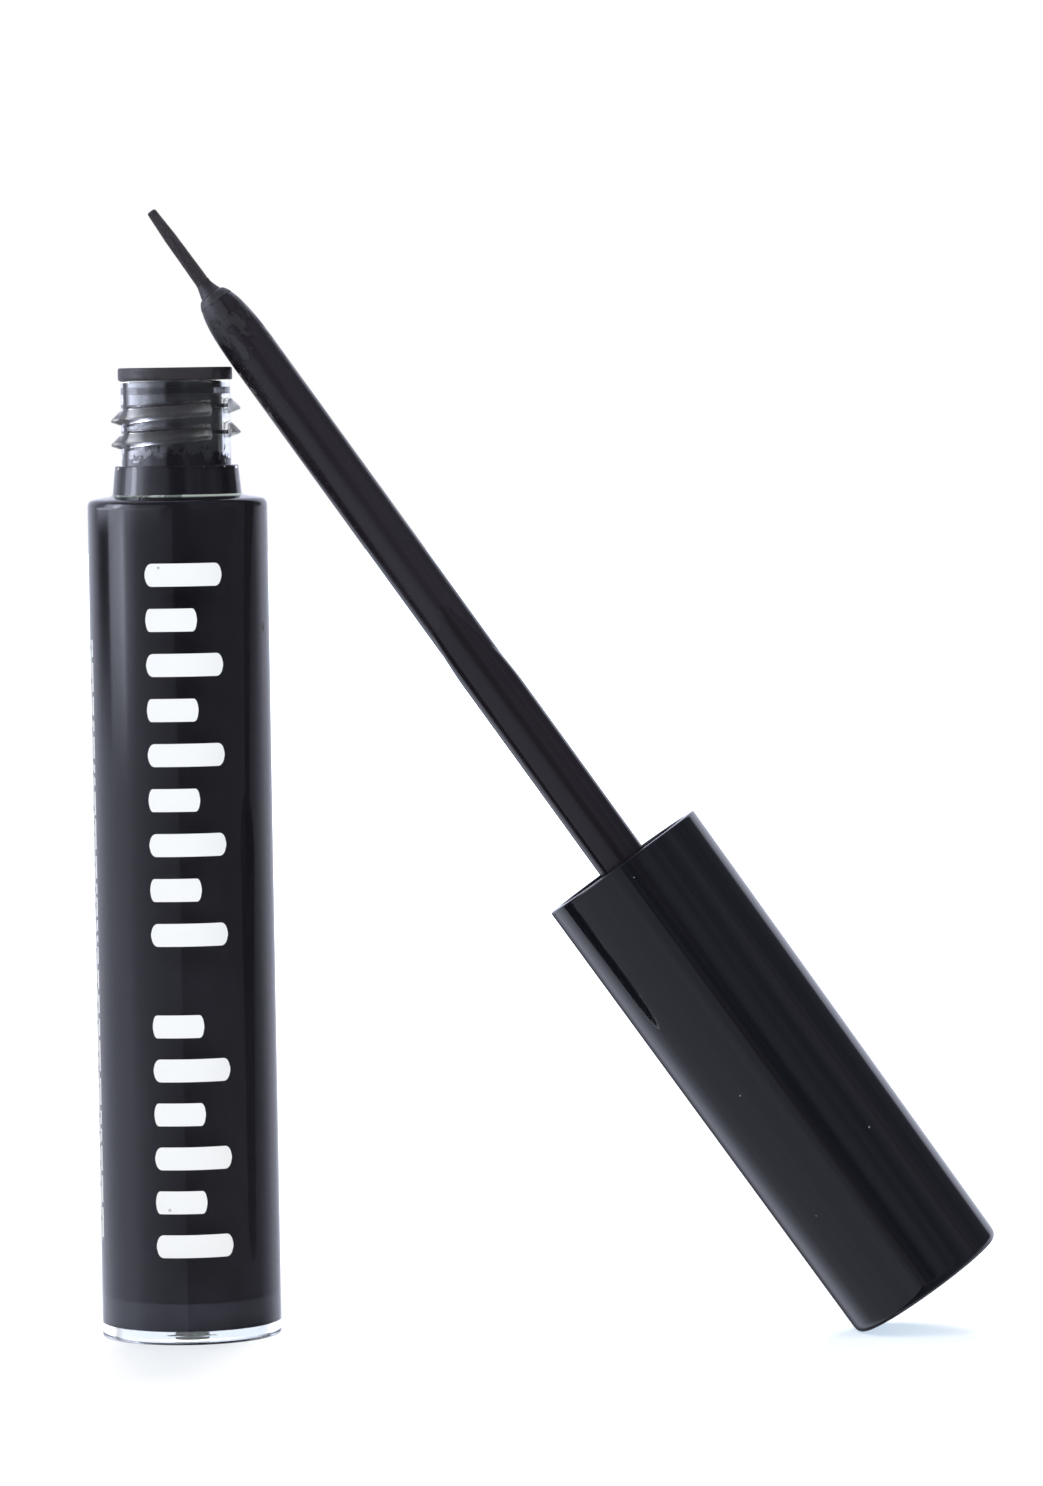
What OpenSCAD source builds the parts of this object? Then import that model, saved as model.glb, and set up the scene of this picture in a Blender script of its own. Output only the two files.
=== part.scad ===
// Liquid eyeliner bottle with its cap and applicator taken off.
// The bottle stands on the table at the origin, with its axis along Z.
// The applicator leans on the wiper's flange, with the heel of its cap on the table.
// Diameters follow from the inside outwards: stem, wiper, neck, thread, inner cap, cap shell, bottle.

/* [Applicator] */
// Diameter of the stem
stem_d = 4.12; // [3:0.02:5]
// Distance kept between the nib and the chamber's floor when the cap is on
nib_clear = 2.6; // [0.5:0.05:10]
// Length of the bullet shaped nose at the stem's end
nose_len = 7; // [4:0.1:10]
// Diameter of the nose where the nib leaves it
nose_end_d = 1.9; // [1.7:0.05:2.4]
// Length of the nib outside the nose
nib_len = 8.55; // [5:0.05:12]
// Diameter of the nib where it leaves the nose
nib_base_d = 1.2; // [0.9:0.02:1.3]
// Length of the nib's tapered point
nib_taper = 2.7; // [1:0.1:5]
// Diameter of the nib where its tapered point begins
nib_mid_d = 1.06; // [0.8:0.02:1.2]
// Diameter of the nib at its blunt end
nib_tip_d = 0.78; // [0.5:0.02:1]
// Radius of the nib's rounded end
nib_round = 0.2; // [0.05:0.01:0.24]
// Depth below the nose's end at which the nib bends
flex_depth = 1; // [0.6:0.05:2]
// Angle through which the nib bends each way
flex_angle = 10; // [0:0.5:12]
// Radial clearance around the nib's rounded root
nib_gap = 0.04; // [0.01:0.01:0.08]
// Length of the stem held inside the cap, above the inner cap's plate
shank_len = 8.5; // [4:0.1:12]
// Bevel at the stem's held end
shank_bevel = 0.4; // [0.1:0.05:0.8]

/* [Wiper] */
// Radial clearance between the stem and the wiper's lip
wipe_gap = 0.07; // [0.02:0.005:0.1]
// Wall of the wiper at its lip
lip_wall = 1.73; // [0.5:0.01:2]
// Wall of the wiper above its lip
wiper_wall = 0.65; // [0.3:0.05:0.9]
// Length of the lip's straight bore
lip_len = 1.4; // [0.8:0.1:3]
// Length of the cone that leads down into the lip
lip_lead = 1; // [0.4:0.1:3]
// Length of the wiper's plug below the bottle's rim
plug_len = 7.6; // [6:0.1:9]
// Height of the snap ribs above the plug
rib_h = 0.12; // [0.05:0.01:0.4]
// Height of the upper snap rib along the plug
rib_tall = 0.62; // [0.3:0.01:0.8]
// Height of the lower snap ribs along the plug
rib_short = 0.35; // [0.2:0.05:0.6]
// Distance from the rim down to the upper rib
rib_first = 0.58; // [0.3:0.01:1]
// Distance from the top of the upper rib to the middle rib
rib_second = 1.4; // [1:0.05:2]
// Distance from the top of the middle rib to the lower rib
rib_third = 2.2; // [1:0.05:3]
// Thickness of the flange on the rim
flange_t = 1.08; // [0.6:0.02:2]
// Distance that the flange stands out past the neck
flange_over = 0.2; // [0.05:0.01:0.5]
// Radius of the flange's rounded edges
flange_round = 0.2; // [0.05:0.01:0.25]
// Depth of the funnel in the flange
funnel_depth = 1.3; // [0.5:0.1:3]
// Distance that the funnel opens out at the top
funnel_open = 0.75; // [0.2:0.05:1.2]

/* [Bottle] */
// Height of the shoulder's outer edge above the table
shoulder_h = 70.05; // [60:0.05:90]
// Rise of the shoulder from its outer edge to the collar
shoulder_rise = 0.35; // [0.1:0.05:1]
// Radius of the rounded outer edge of the shoulder
shoulder_round = 0.8; // [0.3:0.05:1.2]
// Radius of the rounded edge at the foot
foot_round = 0.4; // [0.1:0.05:0.8]
// Wall of the bottle's barrel
barrel_wall = 2.35; // [1.6:0.05:3]
// Wall of the neck
neck_wall = 0.57; // [0.4:0.01:2]
// Step from the neck out to the top of the collar
collar_step = 0.58; // [0.3:0.02:0.8]
// Distance that the collar widens towards its foot
collar_draft = 0.25; // [0:0.01:0.4]
// Height of the collar
collar_h = 2.5; // [1:0.1:4]
// Bevel at the top of the collar
collar_bevel = 0.12; // [0.02:0.02:0.3]
// Height of the neck above the collar
neck_h = 7.07; // [6.5:0.05:10]
// Distance from the shoulder's outer edge down to the roof of the ink chamber
roof_drop = 0.15; // [0:0.05:1]
// Distance that the neck's bore widens towards the chamber
flare_w = 0.45; // [0.1:0.05:1]
// Height of the widening part of the bore
flare_h = 2.6; // [1:0.1:4]
// Radial clearance between the snap ribs and the neck's bore
rib_gap = 0.02; // [0.01:0.01:0.1]

/* [Thread] */
// Rise of the thread in one turn
pitch = 2; // [1.6:0.1:3]
// Distance that the thread stands out of the neck
thread_depth = 0.83; // [0.4:0.01:1]
// Distance from the thread's flat underside up to its crest
thread_under = 0.3; // [0.1:0.05:0.5]
// Distance from the crest up to the end of the sloping upper side
thread_over = 0.95; // [0.4:0.05:1]
// Height of the crest itself
crest_h = 0.1; // [0.04:0.02:0.2]
// Distance from the collar up to the start of the thread
thread_low = 1.27; // [0.6:0.01:2]
// Distance kept clear between the thread and the rim
thread_clear = 0.98; // [0.5:0.01:2]
// Angle taken by each break in the thread, at the mould's parting line
break_angle = 32.5; // [10:0.5:60]
// Angle over which an end of the thread fades
fade_angle = 9; // [4:0.5:20]
// Direction in which the thread starts, counted from X
thread_start = 165; // [0:1:360]

/* [Base] */
// Distance that the base plug sits up inside the foot
foot_recess = 0.25; // [0.1:0.05:0.6]
// Thickness of the base plug's disc
disc_t = 0.7; // [0.4:0.05:1.5]
// Width of the ledge in the bottle that takes the disc
ledge_w = 1.4; // [0.8:0.05:1.8]
// Height of the plug's spigot above its disc
spigot_h = 2.25; // [1:0.05:4]
// Wall of the spigot
spigot_wall = 0.85; // [0.4:0.05:1.5]
// Gap at the welded joint between the base plug and the bottle
weld_gap = 0.02; // [0.01:0.01:0.1]
// Diameter of the moulding gate's mark under the base
gate_d = 2.8; // [1:0.1:4]
// Height of the gate's mark
gate_h = 0.12; // [0.05:0.01:0.2]

/* [Ink] */
// Height of the ink's surface above the table
ink_level = 52; // [20:0.5:60]
// Thickness of the ink that clings to the wall above its surface
ink_film = 0.25; // [0.1:0.05:0.4]
// Gap between the ink and what holds it
wet_gap = 0.02; // [0.01:0.01:0.05]

/* [Cap] */
// Length of the cap
cap_len = 43.6; // [35:0.1:60]
// Wall of the cap shell at its mouth
cap_wall = 1.04; // [0.7:0.02:1.6]
// Wall of the inner cap outside its thread
inner_wall = 0.68; // [0.5:0.02:1.2]
// Gap between the inner cap and the shell
cap_gap = 0.02; // [0.01:0.01:0.08]
// Gap between the stem and the inner cap that grips it
grip_gap = 0.02; // [0.01:0.01:0.08]
// Distance that the cap lies inside the bottle's outline when it is closed
cap_inset = 0.16; // [0:0.01:0.5]
// Distance by which the cap narrows towards its closed end
cap_draft = 0.26; // [0:0.01:0.5]
// Thickness of the closed end
end_wall = 1.3; // [0.8:0.1:3]
// Radius of the rounded edge at the closed end
end_round = 0.9; // [0.4:0.05:1.2]
// Radius of the rounded edge at the mouth
mouth_round = 0.18; // [0.05:0.01:0.3]
// Gap between the closed cap's mouth and the top of the shoulder
mouth_gap = 0.05; // [0.02:0.01:0.5]
// Depth of the inner cap's rim inside the mouth
rim_recess = 0.5; // [0.1:0.05:1.5]
// Radial clearance between the two threads
thread_gap = 0.2; // [0.08:0.01:0.3]
// Gap between the closed inner cap and the wiper's flange
seal_gap = 0.05; // [0.02:0.01:0.3]
// Thickness of the inner cap's plate
plate_t = 1.25; // [0.8:0.05:2.5]
// Height of the inner cap's rim above its plate
skirt_over = 3; // [1:0.1:6]
// Width of the ledge in the shell that stops the inner cap
stop_w = 0.5; // [0.2:0.05:0.7]
// Wall of the socket that grips the stem
socket_wall = 1.25; // [0.8:0.05:1.8]
// Bevel inside the inner cap's rim
rim_bevel = 0.35; // [0.1:0.05:0.5]

/* [Lean] */
// Angle between the leaning applicator and the bottle
lean = 35.15; // [25:0.05:50]
// Direction in which the cap's heel lies from the bottle, counted from X
lean_side = -4.4; // [-45:0.1:45]
// Gap between the stem and the flange that it leans on
lean_gap = 0.17; // [0.02:0.01:0.3]

/* [Hidden] */
$fn = 96;
// Depth to which a thread ridge is sunk into the wall that carries it
ridge_sink = 0.12;
// Fewest turns that a thread may have
least_turns = 0.25;
// Number of steps in a rounded edge
edge_steps = 6;
// Angle of one step along a thread ridge
ridge_step = 6;
// Number of steps along the nose, and the two powers that shape its curve
nose_steps = 18;
nose_power = 3.3;
nose_root = 0.63;

stem_r = stem_d / 2;
lip_r = stem_r + wipe_gap;
plug_r = lip_r + lip_wall;
plug_bore_r = plug_r - wiper_wall;
rib_r = plug_r + rib_h;
bore_r = rib_r + rib_gap;
neck_r = bore_r + neck_wall;
flange_r = neck_r + flange_over;
crest_r = neck_r + thread_depth;
collar_top_r = neck_r + collar_step;
collar_low_r = collar_top_r + collar_draft;
inner_bore_r = max(crest_r, collar_low_r) + thread_gap;
inner_r = inner_bore_r + inner_wall;
shell_bore_r = inner_r + cap_gap;
cap_r = shell_bore_r + cap_wall;
cap_end_r = cap_r - cap_draft;
bottle_r = cap_r + cap_inset;
cavity_r = bottle_r - barrel_wall;
ledge_r = cavity_r + ledge_w;
spigot_r = cavity_r - weld_gap;
spigot_bore_r = spigot_r - spigot_wall;

floor_z = foot_recess + disc_t;
spigot_z = floor_z + spigot_h;
roof_z = shoulder_h - roof_drop;
collar_z = shoulder_h + shoulder_rise;
neck_z = collar_z + collar_h;
rim_z = neck_z + neck_h;
flange_z = rim_z + flange_t;
closed_mouth_z = collar_z + mouth_gap;
reach = closed_mouth_z - floor_z - nib_clear;

ridge_h = thread_under + thread_over;
thread_turns = max(least_turns, (neck_h - thread_low - thread_clear - ridge_h) / pitch);
thread_z = neck_z + thread_low + thread_under;
segment_angle = 180 - break_angle;
inner_minor_r = max(flange_r, neck_r + thread_gap) + thread_gap / 2;
inner_ridge_crest = crest_h * 3;
inner_ridge_foot = thread_over + crest_h;

plate_at = flange_z + seal_gap - closed_mouth_z;
plate_top = plate_at + plate_t;
skirt_top = plate_top + skirt_over;
shank_top = plate_top + shank_len;
socket_r = stem_r + grip_gap + socket_wall;
nose_end_at = nib_len - reach;
nose_at = nose_end_at + nose_len;
nose_r = nose_end_d / 2;
nib_r = nib_base_d / 2;
flex_at = nose_end_at + flex_depth;
socket_ball_r = nib_r + nib_gap;
flare_r = nib_r / cos(flex_angle) + flex_depth * tan(flex_angle) + nib_gap;

// The lean is worked out in the upright plane that holds both axes
rest_r = stem_r + lean_gap + flange_round;
mouth_up = end_round + cos(lean) * (cap_len - end_round) + sin(lean) * (cap_end_r - end_round);
mouth_out = flange_r - flange_round
    + ((flange_z - flange_round - mouth_up) * sin(lean) + rest_r) / cos(lean);

// Points along an arc in the plane of a turned outline
function arc(r, z, radius, from, to) =
    [for (i = [0:edge_steps]) let (a = from + (to - from) * i / edge_steps)
        [r + radius * cos(a), z + radius * sin(a)]];

// Radius of the nose at a share t of its length from the nib
function nose_radius(t) =
    nose_r + (stem_r - nose_r) * pow(1 - pow(1 - t, nose_power), nose_root);

// Share of its full depth that the thread has at angle a of a run that ends at angle last
function fade(a, last) = sqrt(max(0, min(1, a / fade_angle, (last - a) / fade_angle)));

// Place the applicator's own frame: its mouth at the origin and its closed end along Z
module leaning() {
    rotate([0, 0, lean_side])
        translate([mouth_out, 0, mouth_up])
            rotate([0, 180 - lean, 0])
                children();
}

// One run of thread ridge, swept up a helix as a closed band of triangles
module ridge_run(section, foot_r, depth, turn_at, first_z, last) {
    steps = max(2, ceil(last / ridge_step));
    side = sign(depth);
    base_r = foot_r - side * ridge_sink;
    corner = len(section);
    points = [for (i = [0:steps]) let (a = last * i / steps, s = fade(a, last))
        for (q = section) let (r = base_r + side * ridge_sink / 2 * (q[0] > 0 ? 1 : 0)
            + q[0] * (depth + side * ridge_sink / 2) * s)
            [r * cos(turn_at + a), r * sin(turn_at + a), first_z + pitch * a / 360 + q[1]]];
    sides = [for (i = [0:steps - 1]) for (j = [0:corner - 1])
        let (k = (j + 1) % corner, low = i * corner, high = low + corner)
        each [[low + j, high + k, low + k], [low + j, high + j, high + k]]];
    ends = [for (j = [1:corner - 2])
        each [[0, j, j + 1], [steps * corner, steps * corner + j + 1, steps * corner + j]]];
    polyhedron(points = points, faces = concat(sides, ends), convexity = 4);
}

// All runs of a broken thread, half a turn apart
module broken_thread(section, foot_r, depth, first_z) {
    whole = thread_turns * 360;
    for (run = [0:ceil(whole / 180) - 1]) {
        last = min(segment_angle, whole - run * 180);
        if (last > 2 * fade_angle)
            ridge_run(section, foot_r, depth, thread_start + run * 180, first_z + pitch * run / 2, last);
    }
}

// Clear thick walled bottle with its collar, neck and broken thread
module bottle() {
    round_top = min(shoulder_round, (bottle_r - collar_low_r) / 2);
    color([0.86, 0.88, 0.9, 0.4])
    union() {
        rotate_extrude()
            polygon(concat(
                [[ledge_r, 0]],
                arc(bottle_r - foot_round, foot_round, foot_round, -90, 0),
                arc(bottle_r - round_top, shoulder_h - round_top, round_top, 0, 90),
                [
                    [collar_low_r, collar_z],
                    [collar_top_r, neck_z - collar_bevel],
                    [collar_top_r - collar_bevel, neck_z],
                    [neck_r, neck_z],
                    [neck_r, rim_z],
                    [bore_r, rim_z],
                    [bore_r, roof_z + flare_h],
                    [bore_r + flare_w, roof_z],
                    [cavity_r, roof_z],
                    [cavity_r, floor_z],
                    [ledge_r, floor_z]
                ]));
        broken_thread(
            [[0, -thread_under], [0, thread_over], [1, crest_h], [1, 0]],
            neck_r, thread_depth, thread_z);
    }
}

// Clear plug welded into the foot, with a spigot up inside the barrel
module base_plug() {
    disc_r = ledge_r - weld_gap;
    disc_top = floor_z - weld_gap;
    color([0.82, 0.85, 0.88, 0.4])
    union() {
        rotate_extrude()
            polygon([
                [0, foot_recess],
                [disc_r, foot_recess],
                [disc_r, disc_top],
                [spigot_r, disc_top],
                [spigot_r, spigot_z],
                [spigot_bore_r, spigot_z],
                [spigot_bore_r, disc_top],
                [0, disc_top]
            ]);
        translate([0, 0, foot_recess - gate_h])
            cylinder(d = gate_d, h = gate_h + disc_t / 2);
    }
}

// Ink that fills the chamber to its level and clings to the wall above
module ink() {
    outer_r = cavity_r - wet_gap;
    well_r = spigot_bore_r - wet_gap;
    color([0.03, 0.03, 0.035])
    rotate_extrude()
        polygon([
            [0, floor_z],
            [well_r, floor_z],
            [well_r, spigot_z + wet_gap],
            [outer_r, spigot_z + wet_gap],
            [outer_r, roof_z - wet_gap],
            [outer_r - ink_film, roof_z - wet_gap],
            [outer_r - ink_film, ink_level + ink_film],
            [outer_r - 2 * ink_film, ink_level],
            [0, ink_level]
        ]);
}

// Soft wiper pressed into the neck, which strips the stem as it is drawn out
module wiper() {
    top_r = plug_bore_r + funnel_open;
    plug_z = rim_z - plug_len;
    first_z = rim_z - rib_first;
    second_z = first_z - rib_second;
    rib_tops = [first_z, second_z, second_z - rib_third];
    rib_heights = [rib_tall, rib_short, rib_short];
    color([0.13, 0.12, 0.14])
    union() {
        rotate_extrude()
            polygon(concat(
                [
                    [lip_r, plug_z],
                    [plug_r - wiper_wall / 2, plug_z],
                    [plug_r, plug_z + wiper_wall],
                    [plug_r, rim_z]
                ],
                arc(flange_r - flange_round, rim_z + flange_round, flange_round, -90, 0),
                arc(flange_r - flange_round, flange_z - flange_round, flange_round, 0, 90),
                [
                    [top_r, flange_z],
                    [plug_bore_r, flange_z - funnel_depth],
                    [plug_bore_r, plug_z + lip_len + lip_lead],
                    [lip_r, plug_z + lip_len]
                ]));
        for (i = [0:len(rib_tops) - 1])
            rib(rib_tops[i], rib_heights[i]);
    }
}

// One snap rib round the wiper's plug
module rib(top_z, tall) {
    rotate_extrude()
        polygon([
            [plug_bore_r + wiper_wall / 2, top_z - tall],
            [plug_r, top_z - tall],
            [rib_r, top_z - tall / 2],
            [rib_r, top_z],
            [plug_bore_r + wiper_wall / 2, top_z]
        ]);
}

// Glossy outer shell of the cap
module cap_shell() {
    deep_r = shell_bore_r - stop_w;
    stop_at = skirt_top + cap_gap;
    inner_end = cap_len - end_wall;
    color([0.05, 0.05, 0.06])
    leaning()
        rotate_extrude()
            polygon(concat(
                arc(shell_bore_r + mouth_round, mouth_round, mouth_round, -180, -90),
                arc(cap_r - mouth_round, mouth_round, mouth_round, -90, 0),
                arc(cap_end_r - end_round, cap_len - end_round, end_round, 0, 90),
                [
                    [0, cap_len],
                    [0, inner_end],
                    [deep_r, inner_end],
                    [deep_r, stop_at],
                    [shell_bore_r, stop_at]
                ]));
}

// Threaded cap inside the shell, with the socket that grips the stem
module inner_cap() {
    grip_r = stem_r + grip_gap;
    grip_top = shank_top + grip_gap;
    underside = -thread_under - crest_h;
    color([0.1, 0.1, 0.11])
    leaning()
        union() {
            rotate_extrude()
                polygon([
                    [inner_bore_r + rim_bevel, rim_recess],
                    [inner_r, rim_recess],
                    [inner_r, skirt_top],
                    [inner_bore_r, skirt_top],
                    [inner_bore_r, plate_top],
                    [socket_r, plate_top],
                    [socket_r, grip_top + socket_wall],
                    [0, grip_top + socket_wall],
                    [0, grip_top],
                    [grip_r, grip_top],
                    [grip_r, plate_at],
                    [inner_bore_r, plate_at],
                    [inner_bore_r, rim_recess + rim_bevel]
                ]);
            broken_thread(
                [[0, underside - inner_ridge_foot], [1, underside - inner_ridge_crest],
                    [1, underside], [0, underside + crest_h]],
                inner_bore_r, inner_minor_r - inner_bore_r, thread_z - closed_mouth_z);
        }
}

// Stem with its bullet nose, and the flared socket that holds the nib
module stem() {
    color([0.07, 0.07, 0.08])
    leaning()
        rotate_extrude()
            polygon(concat(
                [for (i = [0:edge_steps]) let (a = 90 * i / edge_steps)
                    [socket_ball_r * sin(a), flex_at + socket_ball_r * cos(a)]],
                [[min(flare_r, nose_r - nib_gap), nose_end_at]],
                [for (i = [0:nose_steps]) let (t = pow(i / nose_steps, 2))
                    [nose_radius(t), nose_end_at + nose_len * t]],
                [
                    [stem_r, shank_top - shank_bevel],
                    [stem_r - shank_bevel, shank_top],
                    [0, shank_top]
                ]));
}

// Fibre nib, with a round root that lets it bend in the nose
module nib() {
    tip_r = nib_tip_d / 2;
    mid_r = nib_mid_d / 2;
    color([0.09, 0.08, 0.09])
    leaning()
        rotate_extrude()
            polygon(concat(
                [[0, -reach]],
                arc(tip_r - nib_round, nib_round - reach, nib_round, -90, 0),
                [
                    [mid_r, nib_taper - reach],
                    [nib_r, nose_end_at]
                ],
                arc(0, flex_at, nib_r, 0, 90)));
}

bottle();
base_plug();
ink();
wiper();
cap_shell();
inner_cap();
stem();
nib();
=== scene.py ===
# %% [markdown]
# # A liquid eyeliner bottle, opened
# The bottle stands on a white table. Its long cap has been unscrewed, and the applicator leans on
# the neck with the heel of the cap on the table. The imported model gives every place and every
# movement. This notebook adds what a camera sees: clear plastic with black ink behind it, glossy
# black plastic, a wet stem and a felted nib.

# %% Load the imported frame
import math
import random

import bmesh
import bpy
from mathutils import Matrix, Vector


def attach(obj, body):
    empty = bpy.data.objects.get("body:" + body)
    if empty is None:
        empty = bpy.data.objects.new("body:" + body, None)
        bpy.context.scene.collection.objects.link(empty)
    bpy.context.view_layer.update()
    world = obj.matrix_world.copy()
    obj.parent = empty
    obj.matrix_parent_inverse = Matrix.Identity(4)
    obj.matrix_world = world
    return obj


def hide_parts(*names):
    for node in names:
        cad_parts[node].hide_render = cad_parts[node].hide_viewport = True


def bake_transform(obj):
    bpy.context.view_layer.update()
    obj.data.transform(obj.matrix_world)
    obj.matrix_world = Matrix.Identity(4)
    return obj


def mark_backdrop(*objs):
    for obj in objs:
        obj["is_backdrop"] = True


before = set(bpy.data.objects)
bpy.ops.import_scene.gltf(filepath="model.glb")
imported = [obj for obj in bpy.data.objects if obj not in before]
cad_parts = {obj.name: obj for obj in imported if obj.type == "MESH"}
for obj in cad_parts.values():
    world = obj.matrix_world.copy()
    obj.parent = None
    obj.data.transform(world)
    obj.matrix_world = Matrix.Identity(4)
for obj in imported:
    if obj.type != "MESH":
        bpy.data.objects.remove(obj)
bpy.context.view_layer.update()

# %% [markdown]
# The sizes below are in millimetres. They are written out here because the scene reads nothing but
# the frame, and they are those of the solids, so that each dressed piece sits where its solid is.
# Five small ones differ, because they were settled last, by looking at the foot and the shoulder:
# the floor of the chamber is 0.12 higher here, the recess in the foot is 0.13 shallower, the gate
# mark stands out 0.05 less, and the roundings of foot and shoulder are 0.15 smaller.

# %% Sizes of the bottle and of the wiper, in millimetres
MM = 0.001
BOTTLE_R, CHAMBER_R, FLOOR_Z, ROOF_Z = 7.5, 5.15, 1.07, 69.9
SHOULDER_Z, COLLAR_Z, NECK_Z, RIM_Z, FLANGE_Z = 70.05, 70.4, 72.9, 79.97, 81.05
COLLAR_LOW_R, COLLAR_TOP_R, NECK_R, BORE_R, FLARE_W, FLARE_H = 5.4, 5.15, 4.57, 4.0, 0.45, 2.6
FOOT_ROUND, SHOULDER_ROUND = 0.25, 0.65
LEDGE_R, RECESS, SPIGOT_Z, SPIGOT_WALL = 6.55, 0.12, 3.2, 0.85
GATE_R, GATE_TALL = 1.4, 0.07
INK_Z, INK_FILM = 52.0, 0.25
LIP_R, PLUG_R, PLUG_BORE_R, FLANGE_R, PLUG_LEN = 2.13, 3.86, 3.21, 4.77, 7.6
FUNNEL_DEPTH, FUNNEL_OPEN, LIP_LEN = 1.3, 0.75, 1.4
PITCH, THREAD_DEPTH, THREAD_Z, THREAD_START = 2.0, 0.83, 74.47, 165.0
THREAD_RUN, THREAD_TURNS, THREAD_FADE = 147.5, 1.785, 9.0
HAIR = 0.02
print("bottle", 2 * BOTTLE_R, "mm across and", RIM_Z, "mm to its rim")

# %% Sizes of the applicator, along its own axis from the mouth of the cap
CAP_LEN, CAP_R, CAP_END_R, SHELL_BORE_R, END_ROUND = 43.6, 7.34, 7.08, 6.3, 0.9
INNER_R, INNER_BORE_R, INNER_MINOR_R, PLATE_AT, PLATE_TOP = 6.28, 5.6, 4.87, 10.65, 11.9
SKIRT_TOP, SHANK_TOP, SOCKET_R, SOCKET_ROOF = 14.9, 20.4, 3.33, 1.27
END_WALL, MOUTH_ROUND, RIM_RECESS, RIM_BEVEL, MOUTH_GAP = 1.3, 0.18, 0.5, 0.35, 0.05
STEM_R, NOSE_END, NOSE_LEN, NOSE_R = 2.06, -58.35, 7.0, 0.95
REACH, NIB_R, NIB_MID_R, NIB_TIP_R, NIB_TAPER, FLEX_DEPTH = 66.9, 0.6, 0.53, 0.39, 2.7, 1.0
LEAN, LEAN_SIDE, REST_R, FLANGE_ROUND = 35.15, -4.4, 2.43, 0.2
tilt = math.radians(LEAN)
MOUTH_UP = END_ROUND + math.cos(tilt) * (CAP_LEN - END_ROUND) + math.sin(tilt) * (CAP_END_R - END_ROUND)
contact_z = FLANGE_Z - FLANGE_ROUND
MOUTH_OUT = FLANGE_R - FLANGE_ROUND + ((contact_z - MOUTH_UP) * math.sin(tilt) + REST_R) / math.cos(tilt)
leaning = (
    Matrix.Rotation(math.radians(LEAN_SIDE), 4, "Z")
    @ Matrix.Translation((MOUTH_OUT * MM, 0, MOUTH_UP * MM))
    @ Matrix.Rotation(math.radians(180 - LEAN), 4, "Y")
)
print("the nib ends at", [round(v / MM, 2) for v in leaning @ Vector((0, 0, -REACH * MM))])

# %% [markdown]
# Nearly every piece of this object is round, so one pair of tools makes almost all of it. The first
# softens the corners of an outline, as a mould does. The second turns the outline round an axis.
# A Screw modifier would do the same, but writing the rings ourselves keeps the points on the axis
# single, and lets us leave a strip open where the thread goes.

# %% A tool that rounds the corners of an outline
def softened(points, steps=5):
    """Points are (across, along, radius). Each corner with a radius becomes a short curve."""
    outline = []
    for i, (across, along, radius) in enumerate(points):
        here = Vector((across, along))
        if radius == 0:
            outline.append(here)
            continue
        before = Vector(points[i - 1][:2]) - here
        after = Vector(points[(i + 1) % len(points)][:2]) - here
        half = before.angle(after) / 2
        cut = min(radius / math.tan(half), before.length * 0.48, after.length * 0.48)
        start = here + before.normalized() * cut
        end = here + after.normalized() * cut
        for step in range(steps + 1):
            t = step / steps
            outline.append(start * (1 - t) ** 2 + here * (2 * t * (1 - t)) + end * t**2)
    return outline


def held(outline, close=0.12, closed=True):
    """Add a ring close to both ends of each long straight, so that its shading stays straight."""
    points = [Vector(p) for p in outline]
    result = []
    for i, here in enumerate(points):
        result.append(here)
        if i == len(points) - 1 and not closed:
            break
        ahead = points[(i + 1) % len(points)]
        length = (ahead - here).length
        if length > 4 * close and max(here.x, ahead.x) > 0:
            result += [here.lerp(ahead, close / length), here.lerp(ahead, 1 - close / length)]
    return result


print("a square with soft corners has", len(softened([(0, 0, 1), (9, 0, 1), (9, 9, 1), (0, 9, 1)])), "points")

# %% Tools that turn an outline and finish a mesh
AROUND = 288


def ring(form, across, along, around=AROUND):
    """One ring of vertices, or a single vertex where the outline meets the axis."""
    if across < 1e-6:
        return [form.verts.new((0, 0, along * MM))] * around
    turns = [math.tau * i / around for i in range(around)]
    return [form.verts.new((across * MM * math.cos(t), across * MM * math.sin(t), along * MM)) for t in turns]


def skin(form, low, high):
    """Faces between two neighbouring rings."""
    for i in range(len(low)):
        j = (i + 1) % len(low)
        corners = list(dict.fromkeys((low[i], low[j], high[j], high[i])))
        if len(corners) > 2:
            form.faces.new(corners)


def finished(name, form, place=None, sharp=38):
    """Turn the bmesh into an object with smooth faces and sharp edges where the form is sharp."""
    bmesh.ops.remove_doubles(form, verts=form.verts, dist=2e-7)
    bmesh.ops.dissolve_degenerate(form, edges=form.edges, dist=1e-7)
    bmesh.ops.recalc_face_normals(form, faces=form.faces)
    mesh = bpy.data.meshes.new(name)
    form.to_mesh(mesh)
    form.free()
    mesh.shade_smooth()
    mesh.set_sharp_from_angle(angle=math.radians(sharp))
    piece = bpy.data.objects.new(name, mesh)
    bpy.context.scene.collection.objects.link(piece)
    if place:
        piece.matrix_world = place
    print(f"{name}: {len(mesh.vertices)} vertices")
    return piece


def turned(name, outline, place=None, around=AROUND):
    """A closed outline, turned round the axis."""
    form = bmesh.new()
    rings = [ring(form, across, along, around) for across, along in held(outline)]
    for low, high in zip(rings, rings[1:] + rings[:1]):
        skin(form, low, high)
    return finished(name, form, place)


# %% [markdown]
# A thread is the hard part of a clear neck. A ridge that is only pushed into the neck leaves hidden
# walls inside the plastic, and clear plastic shows them. So the wall is one sheet whose rows climb
# with the thread: every row keeps its own height on the ridge, and the sheet is cut off flat at both
# ends. The ridge is broken at the mould's two parting lines, where it fades to nothing.

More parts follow.
